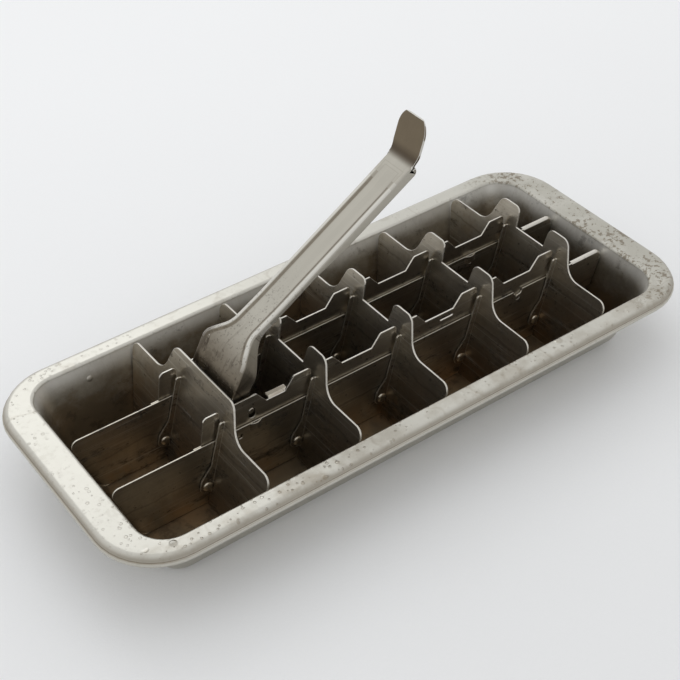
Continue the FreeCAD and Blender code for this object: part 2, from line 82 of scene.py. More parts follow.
# How finely the pan is divided: round its rings, then from ring to ring
CORNER_STEPS = 10
LONG_SIDE_STEPS = 44
SHORT_SIDE_STEPS = 14
BEAD_STEPS = 8
SHOULDER_STEPS = 8
OPENING_STEPS = 8
FLOOR_EDGE_STEPS = 10
RIM_STEPS = 5
WALL_STEPS = 7
UNDER_WALL_STEPS = 5
UNDER_RIM_STEPS = 4
FLOOR_SHARES = (0.97, 0.9, 0.8, 0.65, 0.5, 0.35, 0.2, 0.08)

# The lip's bead starts at this angle in degrees; the corner under the rim is cut by these millimetres
BEAD_START = -80
UNDER_CORNER_DROP = 1.0
UNDER_CORNER_OUT = 0.8

# The pan's uneven rim: the share of the height where it starts, its waves per metre and their shift
UNEVEN_FROM = 0.55
RIM_WAVES = 22.0
SIDE_BOWS = 9.0
SIDE_BOWS_SHIFT = (4.0, 0.0, 0.0)

# The dimple's place and, as (rise, radius), its shape, in millimetres
DIMPLE_BELOW_RIM = 7.2
DIMPLE_FROM_END = 28.3
DIMPLE_PROFILE = ((-0.6, 1.6), (-0.03, 1.5), (0.05, 1.25), (0.16, 0.95), (0.23, 0.6), (0.26, 0.3),
                  (0.27, 0.0))

# The cross dividers' row and the lever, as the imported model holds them
PLATE_COUNT = 5
LEVER_RAISE = math.radians(31.9)

# The lever's bends and its sunk panel, in millimetres from its rod along the arm and over it
BEND_FROM = 2.0
BEND_TO = 112.0
BEND_OVER = 19.5
PANEL_FROM = 1.3
PANEL_TO = 111.0
PANEL_OVER = 18.0
PANEL_HALF_WIDTH = 5.0
PANEL_RISES_FROM = 6.0
PANEL_RISES_OVER = 14.0
PANEL_FALLS_TO = 106.0
PANEL_FALLS_OVER = 9.0
PANEL_CUTS = (20.0, 26.0, 32.0, 97.0, 100.0, 103.0, 106.0)

# Pins and rivets in millimetres, and a hinge rivet's shank as a share of its head
RIVET_RADIUS = 1.25
ROD_RADIUS = 1.5
HEAD_HEIGHT = 0.8
PIN_HEAD_HEIGHT = 0.2
PIN_CHAMFER = 0.2
HEAD_RIM = 0.05
SHANK_SHARE = 0.6

# The stage in metres, the direction in which painted light brightens the floor's colour, and the direction in
# which the surroundings brighten
FLOOR_REACH = 4.0
FLOOR_CELLS = 24
FLOOR_PAINTED_LIGHT_TOWARDS = (0.05, 0.99, 0.0)
FLOOR_PAINTED_SHADE_REACH = 0.35
BRIGHT_SIDE = (0.07, 0.78, 0.62)
BRIGHT_SIDE_FROM = -0.5
WORLD_COLOUR = (0.97, 0.985, 1.0, 1.0)
LAMP_COLOUR = (0.93, 0.965, 1.0)
LAMP_PLACE = (0.28, 1.32, 1.2)
LAMP_WIDTH = 0.85
LAMP_HEIGHT = 0.7

# The camera's place in millimetres, and its turn
CAMERA_PLACE = (-261.813, -359.678, 406.828)
CAMERA_HEADING = math.radians(54.7096)
CAMERA_PITCH = math.radians(40.2891)
CAMERA_ROLL = math.radians(-1.1465)
SENSOR_WIDTH = 36.0


def mm(value):
    return value * MM


def length_property(label, description, millimetres):
    """A length shown in scene units, given here in millimetres."""
    return bpy.props.FloatProperty(name=label, description=description, default=millimetres * MM,
                                   min=0.0, unit="LENGTH", precision=5)


def colour_property(label, description, colour):
    return bpy.props.FloatVectorProperty(name=label, description=description, default=colour,
                                         min=0.0, max=1.0, size=3, subtype="COLOR")


def factor_property(label, description, value):
    return bpy.props.FloatProperty(name=label, description=description, default=value,
                                   min=0.0, max=1.0, subtype="FACTOR")


class TrayPanSizes(bpy.types.PropertyGroup):
    """Sizes of the drawn pan."""

    sheet: length_property("Sheet", "Thickness of the pan's steel", 0.8)
    opening_length: length_property("Opening length", "Length of the opening at the rim", 250.0)
    opening_width: length_property("Opening width", "Width of the opening at the rim", 102.7)
    opening_corner: length_property("Opening corner", "Corner radius of the opening", 13.0)
    floor_corner: length_property("Floor corner", "Corner radius of the floor", 8.5)
    floor_rounding: length_property("Floor rounding", "Radius between wall and floor", 6.0)
    opening_rounding: length_property("Opening rounding", "Radius between wall and rim", 1.5)
    shoulder: length_property("Shoulder", "Radius between rim and lip", 2.6)
    rim_end: length_property("Rim at the ends", "Width of the rim at the two ends", 13.5)
    rim_side: length_property("Rim at the sides", "Width of the rim along the sides", 8.3)
    rim_corner: length_property("Rim corner", "Corner radius of the rim", 26.0)
    lip_height: length_property("Lip height", "Height of the turned-down lip", 4.4)
    bead_width: length_property("Bead width", "How far the lip's rolled bead stands out", 0.7)
    bead_height: length_property("Bead height", "Height of the lip's rolled bead", 2.0)
    waviness: length_property("Waviness", "How uneven pressing left the rim", 0.14)
    draft: bpy.props.FloatProperty(name="Draft", description="Lean of the walls from upright",
                                   default=math.radians(18.5), min=0.0, max=math.radians(60.0),
                                   subtype="ANGLE")


class TraySheetSizes(bpy.types.PropertyGroup):
    """Sizes that the grid and the lever share."""

    edge_rounding: length_property("Edge rounding", "Radius on the sheet's cut edges", 0.14)
    lever_bend: length_property("Lever bend", "Radius of the bends along the lever", 0.95)
    panel_border: length_property("Panel border", "Width left round the lever's sunk panel", 1.7)
    panel_step: length_property("Panel step", "Width of the step round the lever's sunk panel", 1.8)
    panel_depth: length_property("Panel depth", "How far the lever's panel is sunk", 0.55)
    rivet_dome: length_property("Rivet dome", "How far a rivet's head bulges", 0.9)


class TrayColours(bpy.types.PropertyGroup):
    """Colours of the steel and of what use has left on it; some also carry painted light and shade."""

    pan: colour_property("Pan", "Satin steel of the pan", (0.53, 0.51, 0.455))
    grid: colour_property("Grid", "Dulled steel of the divider grid", (0.50, 0.455, 0.38))
    lever: colour_property("Lever", "Satin steel of the lever", (0.43, 0.405, 0.35))
    # The cut-edge colour also carries painted light: the top band of the pan's inner walls, the lever panel's
    # bead, and highlights on the cut edges.
    edge: colour_property("Cut edge", "Bare steel on edges and in scratches", (0.70, 0.68, 0.63))
    # The patina colour also carries painted shade: on the pan's outer shoulder, over the lip's bead, round
    # the drops, and, dimmed, on the lever's apron, on its thumb tab and in its panel's groove.
    patina: colour_property("Patina", "Brown-grey film left by water", (0.20, 0.155, 0.10))
    # The stain colour also carries the painted shadow in the lever's thumb bend and part of the painted shade
    # low in the grid's cells.
    soot: colour_property("Dark stain", "Nearly black blotches in the cells", (0.06, 0.045, 0.032))
    rust: colour_property("Warm stain", "Orange tint low in the cells", (0.41, 0.265, 0.14))
    scale: colour_property("Limescale", "Pale film on the rim's far end", (0.43, 0.41, 0.355))
    patina_share: factor_property("Patina share", "How much of the grid is filmed over", 0.6)


class TrayStage(bpy.types.PropertyGroup):
    """Floor, lamps and camera."""

    floor: colour_property("Floor", "Colour of the pale floor", (0.9, 0.895, 0.89))
    # Painted shade: the share of its colour the floor keeps near the camera.
    floor_near_painted_shade: factor_property("Floor near the camera", "How much of its colour the near floor keeps", 0.88)
    world_low: bpy.props.FloatProperty(name="World, dim side", description="Strength on the camera's side",
                                       default=0.8, min=0.0, max=2.0)
    world_high: bpy.props.FloatProperty(name="World, bright side", description="Strength behind the tray",
                                        default=1.02, min=0.0, max=2.0)
    key_power: bpy.props.FloatProperty(name="Key lamp", description="Power of the large soft lamp",
                                       default=2.2, min=0.0, unit="POWER")
    lens: bpy.props.FloatProperty(name="Lens", description="Focal length in millimetres",
                                  default=75.256, min=10.0, max=300.0)


class Value:
    """A shader socket that takes part in plain arithmetic."""

    def __init__(self, paint, socket):
        self.paint = paint
        self.socket = socket

    def math(self, operation, first, second):
        return self.paint.math_of(operation, first, second)

    def __add__(self, other):
        return self.math("ADD", self, other)

    def __radd__(self, other):
        return self.math("ADD", other, self)

    def __sub__(self, other):
        return self.math("SUBTRACT", self, other)

    def __rsub__(self, other):
        return self.math("SUBTRACT", other, self)

    def __mul__(self, other):
        return self.math("MULTIPLY", self, other)

    def __rmul__(self, other):
        return self.math("MULTIPLY", other, self)

    def __gt__(self, other):
        return self.math("GREATER_THAN", self, other)

    def __abs__(self):
        return self.math("ABSOLUTE", self, 0.0)


class Paint:
    """The nodes of one material."""

    def __init__(self, name):
        self.material = bpy.data.materials.new(name)
        self.material.use_nodes = True
        self.tree = self.material.node_tree
        self.tree.nodes.clear()
        self.point = self.node("ShaderNodeTexCoord", out="Object")
        self.facing = self.node("ShaderNodeTexCoord", out="Normal")
        parts = self.node("ShaderNodeSeparateXYZ", sockets={0: self.point})
        self.x = parts
        self.y = self.output_beside(parts, ACROSS)
        self.z = self.output_beside(parts, UP)

    def output_beside(self, value, index):
        return Value(self, value.socket.node.outputs[index])

    def node(self, kind, settings=None, sockets=None, out=0):
        """Adds one node: its settings first, then its sockets by name or place."""
        made = self.tree.nodes.new(kind)
        for key, setting in (settings or {}).items():
            setattr(made, key, setting)
        for key, content in (sockets or {}).items():
            if isinstance(content, Value):
                self.tree.links.new(content.socket, made.inputs[key])
            else:
                made.inputs[key].default_value = content
        return Value(self, made.outputs[out]) if made.outputs else None

    def math_of(self, operation, first, second):
        return self.node("ShaderNodeMath", {"operation": operation}, {0: first, 1: second})

    def stretched(self, per_metre, point=None):
        """The point in waves: one number for all three axes, or a number for each."""
        waves = per_metre if isinstance(per_metre, tuple) else (per_metre,) * 3
        return self.node("ShaderNodeVectorMath", {"operation": "MULTIPLY"},
                         {0: point or self.point, 1: waves})

    def clouds(self, per_metre, detail=3.0, roughness=0.55, point=None):
        """Soft noise from 0 to 1, with its waves per metre."""
        return self.node("ShaderNodeTexNoise", {}, {"Vector": self.stretched(per_metre, point), "Scale": 1.0,
                                                    "Detail": detail, "Roughness": roughness})

    def rise(self, value, low, high):
        """0 below low, 1 above high, smooth between."""
        return self.node("ShaderNodeMapRange", {"interpolation_type": "SMOOTHSTEP"},
                         {"Value": value, "From Min": low, "From Max": high})

    def contour(self, value, middle, half_width):
        """1 on the line where a value passes its middle, falling to 0 at half_width from it."""
        return 1.0 - self.rise(abs(value - middle), 0.0, half_width)

    def drops(self, per_metre, share, radius, point=None):
        """Round drops with steep sides, up to radius in cell units, in a share of the cells."""
        cells = self.node("ShaderNodeTexVoronoi", {"feature": "F1"},
                          {"Vector": self.stretched(per_metre, point), "Scale": 1.0, "Randomness": 1.0},
                          out="Distance")
        shade = Value(self, cells.socket.node.outputs["Color"])
        pick = self.node("ShaderNodeSeparateColor", sockets={0: shade})
        size = self.output_beside(pick, 1)
        chosen = pick > 1.0 - share
        return chosen * self.rise(radius * (0.45 + size) - cells, 0.0, radius * 0.5)

    def blend(self, factor, first, second):
        """Mixes two colours, given as sockets or as three numbers."""
        pair = [c if isinstance(c, Value) else (*c, 1.0) for c in (first, second)]
        return self.node("ShaderNodeMix", {"data_type": "RGBA", "blend_type": "MIX"},
                         {0: factor, 6: pair[0], 7: pair[1]}, out=2)

    def shaded(self, colour, shade):
        """A colour made lighter or darker by a value round 1."""
        grey = self.node("ShaderNodeCombineXYZ", sockets={0: shade, 1: shade, 2: shade})
        return self.node("ShaderNodeVectorMath", {"operation": "MULTIPLY"}, {0: colour, 1: grey})

    def metal(self, colour, roughness, height, distance, metallic=1.0):
        """Ends the material in a metal shader whose bump height is in units of distance."""
        bump = self.node("ShaderNodeBump", {}, {"Strength": 1.0, "Distance": distance, "Height": height})
        shader = self.node("ShaderNodeBsdfPrincipled", {},
                           {"Base Color": colour, "Roughness": roughness, "Metallic": metallic,
                            "Normal": bump})
        self.node("ShaderNodeOutputMaterial", {}, {"Surface": shader})
        return self.material


def dimmed(colour, share):
    return tuple(channel * share for channel in colour)


def drawn_out(axis, along, across):
    """Waves per metre that are longer along one axis."""
    return tuple(along if index == axis else across for index in (ALONG, ACROSS, UP))


def pan_steel(colours, sizes):
    """Pressed satin steel: clean outside, filmed inside, limescale on the far end of the rim; painted
    reflection along the top of the inner walls, painted shade on the outer shoulder, over the lip's bead and
    round the rim's drops.
    """
    paint = Paint("pan_satin_steel")
    rim_z = cad_high_of("tray_pan").z
    cloud = paint.clouds(26.0, 4.0)
    fine = paint.clouds(420.0, 4.0, 0.65)
    patches = paint.clouds((70.0, 70.0, 90.0), 5.0, 0.6)
    rim = paint.rise(paint.z, rim_z - mm(1.6), rim_z - mm(0.5))

    flat = paint.node("ShaderNodeVectorMath", {"operation": "MULTIPLY"},
                      {0: paint.point, 1: (-40.0, -40.0, 0.0)})
    up = paint.node("ShaderNodeVectorMath", {"operation": "ADD"}, {0: flat, 1: (0.0, 0.0, 0.6)})
    inward = paint.node("ShaderNodeVectorMath", {"operation": "DOT_PRODUCT"},
                        {0: paint.facing, 1: up}, out="Value")
    inside = paint.rise(inward, 0.05, 0.4) * (1.0 - rim)
    outside = paint.rise(inward * -1.0, 0.2, 0.9)
    # Painted shade: a band on the outer shoulder and a line over the lip's bead are blended towards the
    # patina colour, standing in for the shading of these roundings.
    shoulder = outside * paint.contour(paint.z, rim_z - mm(1.5), mm(1.4))
    lip_bead_painted_shade = outside * paint.contour(paint.z, rim_z - sizes.lip_height + sizes.bead_height, mm(0.55))
    deep = 1.0 - paint.rise(paint.z, mm(3.0), mm(24.0))
    film = inside * paint.rise(patches + deep * 0.45, 0.30, 0.74) * 0.95
    warm = inside * deep * paint.rise(cloud, 0.46, 0.62)
    # Painted reflection: the top band of the inner walls is lightened towards the cut-edge colour, less
    # filmed and less metallic, standing in for light reflected there.
    painted_top_sheen = inside * paint.rise(paint.z, rim_z - mm(10.0), rim_z - mm(2.0))
    blots = inside * paint.rise(paint.clouds((90.0, 90.0, 110.0), 6.0, 0.72) + deep * 0.05, 0.56, 0.65)

    end = paint.rise(paint.x + patches * mm(22.0), mm(112.0), mm(134.0)) * rim
    grime = paint.clouds((45.0, 45.0, 0.0), 4.0, 0.6)
    chips = paint.rise(paint.clouds((430.0, 430.0, 0.0), 5.0, 0.72) + grime * 0.6, 0.85, 0.91)
    chipped = chips * (0.08 + end * 0.62)

    side = paint.rise(paint.y * -1.0, mm(49.0), mm(52.0)) * rim
    wet = paint.rise(paint.clouds((26.0, 26.0, 0.0), 3.0), 0.44, 0.56)
    near_end = 1.0 - paint.rise(paint.x, mm(-60.0), mm(110.0)) * 0.75
    large = paint.drops((230.0, 230.0, 0.0), 0.34, 0.36) * wet
    small = paint.drops((620.0, 620.0, 0.0), 0.42, 0.36)
    drops = (large + small * 0.35) * side * near_end + small * wet * rim * (1.0 - end) * 0.25
    # Painted shade: a ring round each drop is darkened, standing in for the shaded edge that refraction gives
    # a real drop.
    drop_edge_painted_shade = paint.contour(drops, 0.4, 0.35)
    marks = paint.contour(paint.clouds((17.0, 17.0, 0.0), 3.0), 0.5, 0.012) * rim

    # Painted reflection on the top band of the inner walls.
    steel = paint.blend(painted_top_sheen * 0.95, colours.pan, colours.edge)
    steel = paint.blend(film * (1.0 - painted_top_sheen * 0.85), steel, colours.patina)
    steel = paint.blend(warm * 0.45, steel, colours.rust)
    steel = paint.blend(blots * 0.4, steel, colours.soot)
    steel = paint.blend(end * paint.rise(patches, 0.3, 0.6) * 0.85, steel, colours.scale)
    steel = paint.blend(chipped, steel, dimmed(colours.patina, 0.9))
    brown = side * paint.rise(patches + cloud * 0.3, 0.56, 0.78)
    # Water marks, brown film, and painted shade round the drops.
    steel = paint.blend(marks * 0.16 + drop_edge_painted_shade * 0.3 + brown * 0.28, steel, colours.patina)
    # Painted shade on the outer shoulder and over the lip's bead.
    steel = paint.blend(shoulder * 0.5 + lip_bead_painted_shade * 0.55, steel, colours.patina)
    steel = paint.shaded(steel, 0.93 + cloud * 0.1 + fine * 0.06)
    roughness = 0.25 + fine * 0.10 + cloud * 0.08 + end * 0.16 + film * 0.12 + chipped * 0.2 - drops * 0.16
    height = fine * 0.10 + cloud * 0.6 + drops * 5.0 + end * patches * 0.5 - chipped * 0.5 + marks * 0.15
    metallic = 1.0 - end * 0.35 - painted_top_sheen * 0.45
    return paint.metal(steel, roughness, height, mm(0.09), metallic)


def grid_steel(name, colours, along, low_z, high_z, wear_and_highlight_from):
    """Dulled sheet with rolling lines along one axis, stains and painted shade low down, and cut edges
    lightened by wear and a painted highlight above the height given last.
    """
    paint = Paint(name)
    rolled = paint.clouds(drawn_out(along, 9.0, 1000.0), 4.0, 0.68)
    banded = paint.clouds(drawn_out(along, 6.0, 240.0), 3.0, 0.6)
    scratched = paint.rise(rolled, 0.57, 0.68)
    cloud = paint.clouds(34.0, 4.0, 0.6)
    patches = paint.clouds((95.0, 95.0, 70.0), 5.0, 0.65)
    stains = paint.clouds(drawn_out(along, 52.0, 130.0), 6.0, 0.72)
    fine = paint.clouds(700.0, 3.0, 0.6)
    edge = paint.node("ShaderNodeAttribute", {"attribute_name": "cut_edge"}, out="Fac")
    # Cut edges lightened: partly wear, partly a painted highlight along the sheet's edges.
    edge_wear_and_highlight = edge * paint.rise(paint.z, wear_and_highlight_from, wear_and_highlight_from + mm(1.0)) * (0.25 + patches * 0.9)

    # Darker towards the bottom: patina and blotches gather low on the sheet, partly stains and partly painted
    # shade in the cells and corners.
    low = 1.0 - paint.rise(paint.z + patches * mm(9.0), low_z, high_z)
    film = paint.rise(patches + low * 0.4, 0.42, 0.86) * colours.patina_share
    blots = paint.rise(stains + low * 0.07, 0.55, 0.67)
    flecks = paint.rise(paint.clouds(330.0, 4.0, 0.7) + stains * 0.4, 0.83, 0.88)
    warm = low * paint.rise(cloud + patches * 0.4, 0.66, 0.84)
    tide = paint.contour(paint.z + cloud * mm(9.0), low_z * 0.35 + high_z * 0.65, mm(0.8))
    steel = paint.blend(film, colours.grid, colours.patina)
    steel = paint.blend(warm * 0.6, steel, colours.rust)
    steel = paint.blend(blots * 0.66, steel, colours.soot)
    steel = paint.blend(scratched * 0.6, steel, colours.edge)
    steel = paint.blend(tide * 0.3 + flecks * 0.6, steel, colours.soot)
    steel = paint.blend(edge_wear_and_highlight * 0.75, steel, colours.edge)
    steel = paint.shaded(steel, 0.72 + banded * 0.34 + rolled * 0.2)
    roughness = 0.24 + rolled * 0.14 + film * 0.16 + blots * 0.12 - edge_wear_and_highlight * 0.04
    height = rolled * 0.2 + banded * 0.2 + cloud * 0.9 + fine * 0.06 + blots * 0.15 - flecks * 0.2
    return paint.metal(steel, roughness, height, mm(0.08))


def lever_steel(colours, foot, tip):
    """Satin steel brushed along the lever, misted and stained at its apron, with painted shade on the apron,
    on the thumb tab and in the thumb bend.
    """
    paint = Paint("lever_satin_steel")
    reach = Vector((math.cos(LEVER_RAISE), 0.0, math.sin(LEVER_RAISE)))
    foot_u = reach.dot(foot)
    tip_u = reach.dot(tip)
    turned = paint.node("ShaderNodeVectorRotate", {"rotation_type": "Y_AXIS"},
                        {"Vector": paint.point, "Angle": LEVER_RAISE})
    along = paint.node("ShaderNodeSeparateXYZ", sockets={0: turned})
    brushed = paint.clouds((14.0, 1300.0, 1300.0), 4.0, 0.65, turned)
    banded = paint.clouds((5.0, 260.0, 260.0), 2.0, 0.5, turned)
    cloud = paint.clouds(38.0, 3.0)
    fine = paint.clouds(520.0, 4.0, 0.65)
    # Cut edges lightened: partly wear, partly a painted highlight.
    edge_wear_and_highlight = paint.node("ShaderNodeAttribute", {"attribute_name": "cut_edge"}, out="Fac")
    groove_shade_bead_highlight = paint.node("ShaderNodeAttribute", {"attribute_name": "groove_shade_bead_highlight"}, out="Fac")

    mist = 1.0 - paint.rise(along + cloud * mm(20.0), foot_u + mm(34.0), foot_u + mm(80.0))
    apron = 1.0 - paint.rise(along + cloud * mm(12.0), foot_u + mm(6.0), foot_u + mm(40.0))
    beads = paint.drops((1250.0, 1250.0, 0.0), 0.6, 0.36, turned) * mist
    large = paint.drops((430.0, 430.0, 0.0), 0.16, 0.26, turned) * mist
    runs = paint.rise(paint.clouds((26.0, 190.0, 90.0), 5.0, 0.65, turned), 0.53, 0.64) * apron
    blots = paint.rise(paint.clouds(60.0, 6.0, 0.7), 0.56, 0.62) * apron
    # Painted shade on the thumb tab, and a painted shadow in its bend.
    thumb = paint.rise(along, tip_u - mm(17.0), tip_u - mm(12.5))
    thumb_bend_painted_shadow = paint.contour(along, tip_u - mm(13.5), mm(3.5))
    # Painted shade: the apron is darkened towards a shaded patina tone, standing in for the surroundings it
    # reflects; stains are laid over it.
    shade_tone = dimmed(colours.patina, 0.62)
    steel = paint.blend(apron * 0.9, colours.lever, shade_tone)
    # Painted shade in the panel's groove, painted highlight on its bead.
    steel = paint.blend(paint.rise(groove_shade_bead_highlight, 0.0, 1.0) * (0.55 + fine * 0.3), steel, shade_tone)
    steel = paint.blend(paint.rise(groove_shade_bead_highlight * -1.0, 0.0, 1.0) * 0.6, steel, colours.edge)
    steel = paint.blend(runs * 0.7 + blots * 0.4, steel, colours.soot)
    # Painted shade on the thumb tab and painted shadow in its bend.
    steel = paint.blend(thumb * 0.95, steel, dimmed(colours.patina, 0.75))
    steel = paint.blend(thumb_bend_painted_shadow * 0.75, steel, colours.soot)
    steel = paint.blend(beads * 0.3, steel, colours.soot)
    steel = paint.blend(edge_wear_and_highlight * 0.8, steel, colours.edge)
    steel = paint.shaded(steel, 0.80 + brushed * 0.14 + banded * 0.14 + cloud * 0.12)
    roughness = 0.23 + brushed * 0.1 + fine * 0.05 + mist * 0.08 - beads * 0.08
    height = brushed * 0.08 + banded * 0.3 + cloud * 0.5 + fine * 0.06 + beads * 1.1 + large * 2.4
    return paint.metal(steel, roughness, height, mm(0.1))


def rivet_steel(colours):
    """Darker steel with crusted spots, for pins and rivets."""
    paint = Paint("rivet_steel")
    cloud = paint.clouds(500.0, 4.0, 0.6)
    fine = paint.clouds(2200.0, 2.0)
    crust = paint.rise(cloud, 0.5, 0.66)
    steel = paint.blend(crust * 0.6, colours.grid, colours.patina)
    steel = paint.shaded(steel, 0.9 + fine * 0.15)
    return paint.metal(steel, 0.28 + crust * 0.25 + fine * 0.06, cloud * 0.6 + fine * 0.2, mm(0.05))


def cad_high_of(node):
    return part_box(node)[1]


def as_mesh(shape, name):
    mesh = bpy.data.meshes.new(name)
    shape.to_mesh(mesh)
    shape.free()
    return mesh


def settle(shape, name, body, material, nodes=()):
    """Links a finished shape as a piece that rides on a body and stands for CAD nodes."""
    mesh = as_mesh(shape, name)
    for polygon in mesh.polygons:
        polygon.use_smooth = True
    mesh.set_sharp_from_angle(angle=SMOOTH_ANGLE)
    mesh.materials.append(material)
    piece = bpy.data.objects.new(name, mesh)
    bpy.context.scene.collection.objects.link(piece)
    normals = piece.modifiers.new("flat_faces_stay_flat", "WEIGHTED_NORMAL")
    normals.weight = FLAT_FACE_WEIGHT
    normals.keep_sharp = True
    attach(piece, body)
    if nodes:
        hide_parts(*nodes)


def rounded_ring(half_x, half_y, radius, z):
    """Points round a rounded rectangle, the same number for every ring."""
    arcs = []
    for quarter, (sign_x, sign_y) in enumerate(((1, 1), (-1, 1), (-1, -1), (1, -1))):
        centre = Vector((sign_x * (half_x - radius), sign_y * (half_y - radius), z))
        arc = []
        for step in range(CORNER_STEPS + 1):
            angle = math.pi / 2 * (quarter + step / CORNER_STEPS)
            arc.append(centre + Vector((math.cos(angle), math.sin(angle), 0)) * radius)
        arcs.append(arc)
    points = []
    for quarter, arc in enumerate(arcs):
        points += arc
        following = arcs[(quarter + 1) % 4][0]
        steps = LONG_SIDE_STEPS if quarter % 2 == 0 else SHORT_SIDE_STEPS
        points += [arc[-1].lerp(following, step / steps) for step in range(1, steps)]
    return points


def arc_angles(low, high, steps):
    return [low + (high - low) * step / steps for step in range(steps + 1)]


class PanShape:
    """The pan's rings, from the lip up over the rim, down to the floor and back underneath."""

    def __init__(self, sizes):
        self.s = sizes
        self.rim_z = cad_high_of("tray_pan").z
        self.slope = math.tan(sizes.draft)

    def wall(self, out, z):
        """A ring that stands out from the inner wall line by out."""
        s = self.s
        drop = (self.rim_z - z) * self.slope
        rise = (z - s.sheet) / (self.rim_z - s.sheet)
        radius = s.floor_corner + rise * (s.opening_corner - s.floor_corner) + out
        return rounded_ring(s.opening_length / 2 - drop + out, s.opening_width / 2 - drop + out, radius, z)

    def rim(self, out, z):
        s = self.s
        return rounded_ring(s.opening_length / 2 + s.rim_end + out, s.opening_width / 2 + s.rim_side + out,
                            s.rim_corner + out, z)

    def lip(self):
        s = self.s
        low = self.rim_z - s.lip_height
        middle = low + s.bead_height / 2
        rings = [self.rim(-s.sheet / 2, low)]
        for angle in arc_angles(BEAD_START, 90, BEAD_STEPS):
            turn = math.radians(angle)
            out = s.bead_width * math.cos(turn)
            rings.append(self.rim(out, middle + s.bead_height / 2 * math.sin(turn)))
        return rings

    def shoulder(self, thickness):
        """The rounding between lip and rim, from the lip up."""
        s = self.s
        radius = s.shoulder - thickness
        centre = self.rim_z - s.shoulder
        return [self.rim(radius * math.cos(turn) - s.shoulder, centre + radius * math.sin(turn))
                for turn in arc_angles(0, math.pi / 2, SHOULDER_STEPS)]

    def opening(self):
        """The rounding between rim and wall, from the rim down."""
        s = self.s
        radius = s.opening_rounding
        centre = self.rim_z - radius
        middle = radius / math.cos(s.draft)
        rings = []
        for turn in arc_angles(math.pi / 2, s.draft, OPENING_STEPS):
            z = centre + radius * math.sin(turn)
            out = middle - radius * math.cos(turn)
            rings.append(self.wall(out + (centre - z) * self.slope, z))
        return rings

    def rounding(self, thickness):
        """The rounding between wall and floor, from the wall down."""
        s = self.s
        radius = s.floor_rounding + thickness
        centre = s.sheet + s.floor_rounding
        rings = []
        for turn in arc_angles(math.pi / 2 - s.draft, 0, FLOOR_EDGE_STEPS):
            z = centre - radius * math.cos(turn)
            across = radius * math.sin(turn) - s.floor_rounding / math.cos(s.draft)
            rings.append(self.wall(across + (centre - z) * self.slope, z))
        return rings


def between(first, second, steps):
    """Rings that divide the space between two rings evenly, without the rings themselves."""
    return [[a.lerp(b, step / steps) for a, b in zip(first, second)] for step in range(1, steps)]


def shrunk(ring, share):
    return [Vector((p.x * share, p.y * share, p.z)) for p in ring]


def join_rings(shape, rings):
    """Faces between rings one after the other, and the rings as vertices."""
    rows = [[shape.verts.new(point) for point in ring] for ring in rings]
    for near, far in zip(rows, rows[1:]):
        count = len(near)
        for i in range(count):
            following = (i + 1) % count
            shape.faces.new((near[i], near[following], far[following], far[i]))
    return rows


def make_uneven(shape, waviness, rim_z):
    """Lets the upper part of the pan wave a little up and down, and bow in along its sides."""
    for vertex in shape.verts:
        place = vertex.co
        share = max(0.0, (place.z / rim_z - UNEVEN_FROM) / (1.0 - UNEVEN_FROM))
        wave = noise.noise(Vector((place.x, place.y, 0)) * RIM_WAVES) - 1.0
        vertex.co.z += waviness * share * wave / 2
        bow = noise.noise(Vector((place.x, 0, place.y)) * SIDE_BOWS + Vector(SIDE_BOWS_SHIFT))
        side = 1.0 if place.y > 0 else -1.0
        vertex.co.y -= side * waviness * share * abs(bow) * 2


def make_pan(sizes):
    """The whole shell, closed, with thickness."""
    pan = PanShape(sizes)
    thickness = sizes.sheet
    shoulder = pan.shoulder(0)
    opening = pan.opening()
    rounding = pan.rounding(0)
    top = pan.lip() + shoulder + between(shoulder[-1], opening[0], RIM_STEPS) + opening
    top += between(opening[-1], rounding[0], WALL_STEPS) + rounding
    top += [shrunk(rounding[-1], share) for share in FLOOR_SHARES]

    under_rounding = pan.rounding(thickness)
    wall_offset = thickness / math.cos(sizes.draft)
    under_wall = pan.wall(wall_offset, pan.rim_z - thickness - mm(UNDER_CORNER_DROP))
    under_rim = pan.wall(wall_offset + mm(UNDER_CORNER_OUT), pan.rim_z - thickness)
    under_shoulder = pan.shoulder(thickness)
    under = [shrunk(under_rounding[-1], share) for share in reversed(FLOOR_SHARES)]
    under += list(reversed(under_rounding))
    under += between(under_rounding[0], under_wall, UNDER_WALL_STEPS) + [under_wall, under_rim]
    under += between(under_rim, under_shoulder[-1], UNDER_RIM_STEPS) + list(reversed(under_shoulder))
    under.append(pan.rim(-thickness, pan.rim_z - sizes.lip_height))

    shape = bmesh.new()
    rows = join_rings(shape, top)
    rows_under = join_rings(shape, under)
    count = len(rows[0])
    for i in range(count):
        following = (i + 1) % count
        shape.faces.new((rows_under[-1][i], rows_under[-1][following], rows[0][following], rows[0][i]))
    shape.faces.new(list(reversed(rows[-1])))
    shape.faces.new(rows_under[0])
    bmesh.ops.recalc_face_normals(shape, faces=shape.faces)
    make_uneven(shape, sizes.waviness, pan.rim_z)
    return shape


